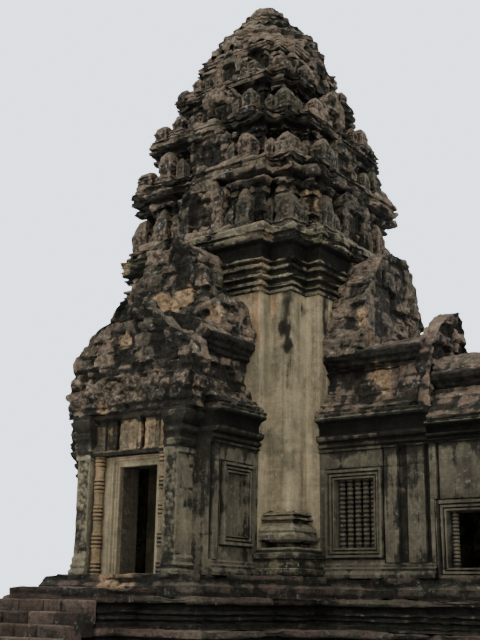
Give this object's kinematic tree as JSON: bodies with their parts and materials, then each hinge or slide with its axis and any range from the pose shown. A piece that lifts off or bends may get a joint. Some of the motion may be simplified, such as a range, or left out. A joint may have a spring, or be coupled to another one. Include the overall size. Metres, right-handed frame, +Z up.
{
  "type": "hindu temple",
  "caption": "Sandstone temple tower with tiered spire and lotus crown, pedimented porches, antechamber and hall with barred windows, on a moulded stepped terrace.",
  "frame": {"origin": "on the tower's vertical axis, at the foot of the terrace", "axes": "+Z up the tower, +X along the antechamber and hall, -Y out of the south porch's doorway"},
  "size_m": [25.999, 19.894, 20.75],
  "materials": {
    "pale_stone": "smooth weathered sandstone with streaks",
    "grey_stone": "weathered sandstone with dark staining",
    "dark_stone": "rough dark sandstone with lichen",
    "purple_stone": "worn moulded sandstone",
    "warm_stone": "broken carved sandstone"
  },
  "bodies": {
    "root": {"terrace_lower": "purple_stone", "terrace_upper": "purple_stone", "plinth": "purple_stone", "tower_corner_southeast": "pale_stone", "tower_corner_southwest": "pale_stone", "tower_corner_northeast": "pale_stone", "tower_corner_northwest": "pale_stone", "tower_body": "pale_stone", "main_cornice": "grey_stone", "tower_tier_1": "dark_stone", "tower_tier_2": "dark_stone", "tower_tier_3": "dark_stone", "tower_tier_4": "dark_stone", "lotus_crown": "dark_stone", "porch_south_right_wall": "grey_stone", "porch_south_left_wall": "grey_stone", "porch_south_door_frame": "pale_stone", "porch_south_lintel": "warm_stone", "porch_south_pediment": "dark_stone", "porch_south_roof": "dark_stone", "porch_south_steps": "purple_stone", "porch_west_right_wall": "grey_stone", "porch_west_left_wall": "grey_stone", "porch_west_door_frame": "pale_stone", "porch_west_lintel": "warm_stone", "porch_west_pediment": "dark_stone", "porch_west_roof": "dark_stone", "porch_west_steps": "purple_stone", "porch_north_right_wall": "grey_stone", "porch_north_left_wall": "grey_stone", "porch_north_door_frame": "pale_stone", "porch_north_lintel": "warm_stone", "porch_north_pediment": "dark_stone", "porch_north_roof": "dark_stone", "porch_north_steps": "purple_stone", "antechamber_right_wall": "grey_stone", "antechamber_left_wall": "grey_stone", "antechamber_roof": "dark_stone", "hall_right_wall": "grey_stone", "hall_left_wall": "grey_stone", "hall_roof": "dark_stone", "hall_door_frame": "pale_stone", "hall_lintel": "warm_stone", "hall_pediment": "dark_stone", "hall_steps": "purple_stone"}
  },
  "joints": []
}
